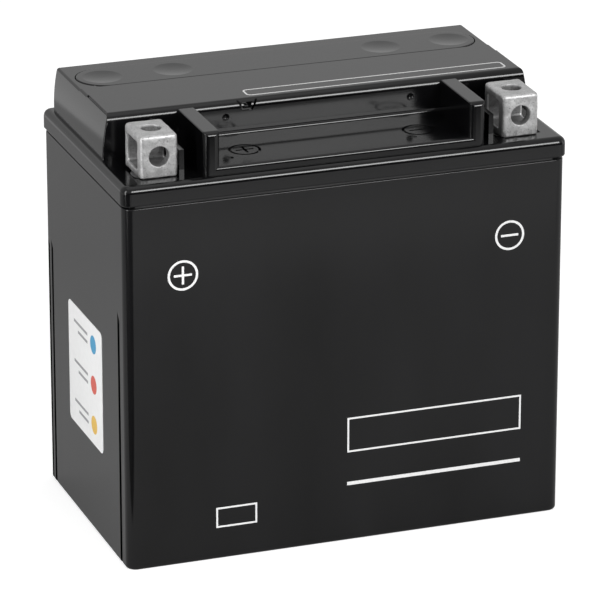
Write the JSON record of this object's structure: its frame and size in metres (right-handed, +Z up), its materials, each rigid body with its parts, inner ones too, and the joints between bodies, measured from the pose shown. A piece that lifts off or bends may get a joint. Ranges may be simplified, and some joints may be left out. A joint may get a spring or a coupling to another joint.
{
  "type": "motorcycle battery",
  "caption": "Sealed motorcycle battery: black container with a stepped lid, cap strip and two hollow lead terminals.",
  "frame": {"origin": "middle of the base, on the surface that the battery stands on", "axes": "+X along the long side from the positive to the negative terminal, -Y the front with the terminals, +Z up"},
  "size_m": [0.15, 0.087, 0.145],
  "materials": {
    "case_plastic": "satin",
    "lid_plastic": "satin",
    "cap_plastic": "satin",
    "terminal_lead": "cast",
    "lead": "cast",
    "positive_paste": "matte",
    "negative_paste": "matte",
    "glass_mat": "matte",
    "filter_ceramic": "matte",
    "rubber": "matte",
    "label_paper": "satin",
    "print_white": "satin"
  },
  "bodies": {
    "battery": {"container": "case_plastic", "lid": "lid_plastic", "flame_filter": "filter_ceramic", "positive_terminal": "terminal_lead", "positive_bush": "lead", "positive_post_seal": "rubber", "positive_post": "lead", "negative_terminal": "terminal_lead", "negative_bush": "lead", "negative_post_seal": "rubber", "negative_post": "lead", "cell_1_positive_plates": "positive_paste", "cell_1_negative_plates": "negative_paste", "cell_1_separators": "glass_mat", "cell_1_positive_strap": "lead", "cell_1_negative_strap": "lead", "cell_2_positive_plates": "positive_paste", "cell_2_negative_plates": "negative_paste", "cell_2_separators": "glass_mat", "cell_2_positive_strap": "lead", "cell_2_negative_strap": "lead", "cell_3_positive_plates": "positive_paste", "cell_3_negative_plates": "negative_paste", "cell_3_separators": "glass_mat", "cell_3_positive_strap": "lead", "cell_3_negative_strap": "lead", "cell_4_positive_plates": "positive_paste", "cell_4_negative_plates": "negative_paste", "cell_4_separators": "glass_mat", "cell_4_positive_strap": "lead", "cell_4_negative_strap": "lead", "cell_5_positive_plates": "positive_paste", "cell_5_negative_plates": "negative_paste", "cell_5_separators": "glass_mat", "cell_5_positive_strap": "lead", "cell_5_negative_strap": "lead", "cell_6_positive_plates": "positive_paste", "cell_6_negative_plates": "negative_paste", "cell_6_separators": "glass_mat", "cell_6_positive_strap": "lead", "cell_6_negative_strap": "lead", "intercell_weld_1": "lead", "intercell_weld_2": "lead", "intercell_weld_3": "lead", "intercell_weld_4": "lead", "intercell_weld_5": "lead", "side_label": "label_paper"},
    "cap_strip": {"cap_strip": "cap_plastic", "cap_seal_1": "rubber", "cap_seal_2": "rubber", "cap_seal_3": "rubber", "cap_seal_4": "rubber", "cap_seal_5": "rubber", "cap_seal_6": "rubber"},
    "relief_valve": {"relief_valve": "rubber"}
  },
  "joints": [
    {"name": "cap_strip_lift", "type": "slide", "parent": "battery", "child": "cap_strip", "axis": [0, 0, 1], "range_m": [0, 0.02]},
    {"name": "relief_valve_lift", "type": "slide", "parent": "battery", "child": "relief_valve", "axis": [0, 0, 1], "range_m": [0, 0.0008], "stiffness_N_per_m": 200, "springref_m": -0.0005}
  ]
}
